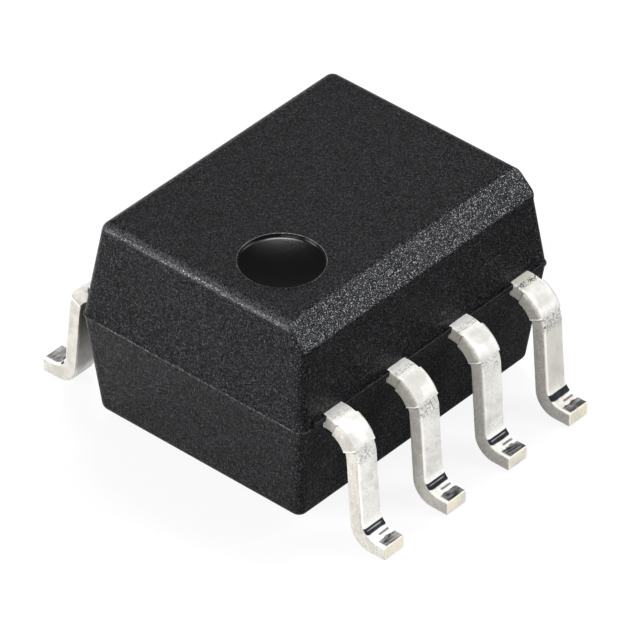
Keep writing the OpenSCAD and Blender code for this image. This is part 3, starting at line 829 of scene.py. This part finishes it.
# The floor's tone to the camera, and to the light around from the back left to the front right
SEEN_TONE = 0.92
CARD_TONES = (0.62, 0.13)
CARD_FADE = (-3.0, 2.0)
# The world's level for the light around, and in mirrors well above the horizon
DIFFUSE_LEVEL = 0.15
UPPER_LEVEL = 0.04


def floor_material():
    """White card as the camera sees it, mostly its own white, with the object's shadow
    on it. The light around sees it as a grey card, paler at the back left, mirrors see
    that card with a little of the white, and it is clear from below."""
    g = new_graph("white_card")
    x, y = g.axes(g.place())[:2]
    camera_ray, glossy_ray = g.rays("Camera", "Glossy")
    tone = g.mix(g.fade_mm(x - y, *CARD_FADE), grey(CARD_TONES[0]), grey(CARD_TONES[1]))
    around = g.add("BsdfDiffuse", None, {"Color": tone})
    seen = g.add("BsdfDiffuse", None, {"Color": grey(SEEN_TONE)})
    white = g.add("Emission", None, {"Color": grey(1.0), "Strength": 1.0})
    card = g.add("MixShader", None, {0: camera_ray, 1: around, 2: seen})
    share = camera_ray * SEEN_SHARE + glossy_ray * GLOSS_SHARE
    shown = g.add("MixShader", None, {0: share, 1: card, 2: white})
    below = g.add("NewGeometry", output="Backfacing")
    clear = g.add("BsdfTransparent")
    both = g.add("MixShader", None, {0: below, 1: shown, 2: clear})
    g.add("OutputMaterial", None, {"Surface": both})
    return g.owner


corner_x, corner_y = np.meshgrid([-FLOOR_HALF, FLOOR_HALF], [-FLOOR_HALF, FLOOR_HALF])
floor_points = np.stack([corner_x.ravel(), corner_y.ravel(), np.full(4, FLOOR_Z)], -1) * MM
floor_mesh = bpy.data.meshes.new("floor")
floor_mesh.from_pydata(floor_points.tolist(), [], [[0, 1, 3, 2]])
floor_mesh.materials.append(floor_material())
floor = bpy.data.objects.new("floor", floor_mesh)
bpy.context.scene.collection.objects.link(floor)

world = bpy.data.worlds.new("studio")
bpy.context.scene.world = world
g = Graph(world)
camera_ray, glossy_ray, through_ray = g.rays("Camera", "Glossy", "Transmission")
height = g.axes(g.add("TexCoord", output="Generated"))[2]
mirrored = glossy_ray * g.fade(height, 0.05, 0.35, 1.0, UPPER_LEVEL)
strength = camera_ray.at_least(through_ray).at_least(mirrored).at_least(DIFFUSE_LEVEL)
backdrop = g.add("Background", None, {"Color": grey(1.0), "Strength": strength})
g.add("OutputWorld", None, {"Surface": backdrop})


LAMP_AIM_Z = 1.6


def softbox(name, direction, distance, size, level, colour):
    """A square area lamp that faces the part. level is the brightness that it alone
    gives a white surface square to it."""
    data = bpy.data.lights.new(name, "AREA")
    data.shape = "SQUARE"
    data.size = size * MM
    data.color = colour
    data.energy = level * math.pi ** 2 * (distance * MM) ** 2
    obj = bpy.data.objects.new(name, data)
    bpy.context.scene.collection.objects.link(obj)
    towards = Vector(direction).normalized()
    middle = Vector((0, 0, LAMP_AIM_Z))
    obj.matrix_world = Matrix.Translation((middle + towards * distance) * MM) @ (
        towards.to_track_quat("Z", "Y").to_matrix().to_4x4())


# Each lamp's direction from the part, its distance and width in millimetres, its level
WHITE = (1.0, 1.0, 1.0)
softbox("front_right_softbox", (0.60, -0.61, 0.51), 120, 62, 0.78, (0.95, 0.97, 1.0))
softbox("back_left_softbox", (-0.80, 0.515, 0.30), 120, 58, 1.08, WHITE)
softbox("left_softbox", (-0.90, -0.36, 0.25), 120, 90, 0.88, WHITE)
softbox("upper_right_softbox", (0.50, -0.10, 0.86), 120, 60, 0.12, WHITE)
softbox("overhead_softbox", (0.321, 0.275, 0.906), 140, 32, 0.48, WHITE)

# Camera: azimuth, elevation and roll of the fitted view, in degrees, and its place in mm
AZIMUTH = math.radians(-49.3476)
ELEVATION = math.radians(37.7381)
ROLL = math.radians(0.7588)
EYE = (-64.637, -55.582, 67.211)
FOCAL_PIXELS = 8013.66
PICTURE_PIXELS = 640
back = Vector((math.sin(AZIMUTH) * math.cos(ELEVATION), -math.cos(AZIMUTH) * math.cos(ELEVATION),
               math.sin(ELEVATION)))
right = Vector((math.cos(AZIMUTH), math.sin(AZIMUTH), 0))
up = back.cross(right)
right_rolled = right * math.cos(ROLL) + up * math.sin(ROLL)
up_rolled = up * math.cos(ROLL) - right * math.sin(ROLL)
camera_data = bpy.data.cameras.new("camera")
camera_data.sensor_width = 36
camera_data.sensor_fit = "HORIZONTAL"
camera_data.lens = FOCAL_PIXELS * camera_data.sensor_width / PICTURE_PIXELS
camera_data.clip_start = 0.005
camera_data.clip_end = 10
camera = bpy.data.objects.new("camera", camera_data)
bpy.context.scene.collection.objects.link(camera)
camera.matrix_world = Matrix.Translation(Vector(EYE) * MM) @ Matrix(
    (right_rolled, up_rolled, back)).transposed().to_4x4()
bpy.context.scene.camera = camera
bpy.context.scene.view_settings.view_transform = "Standard"
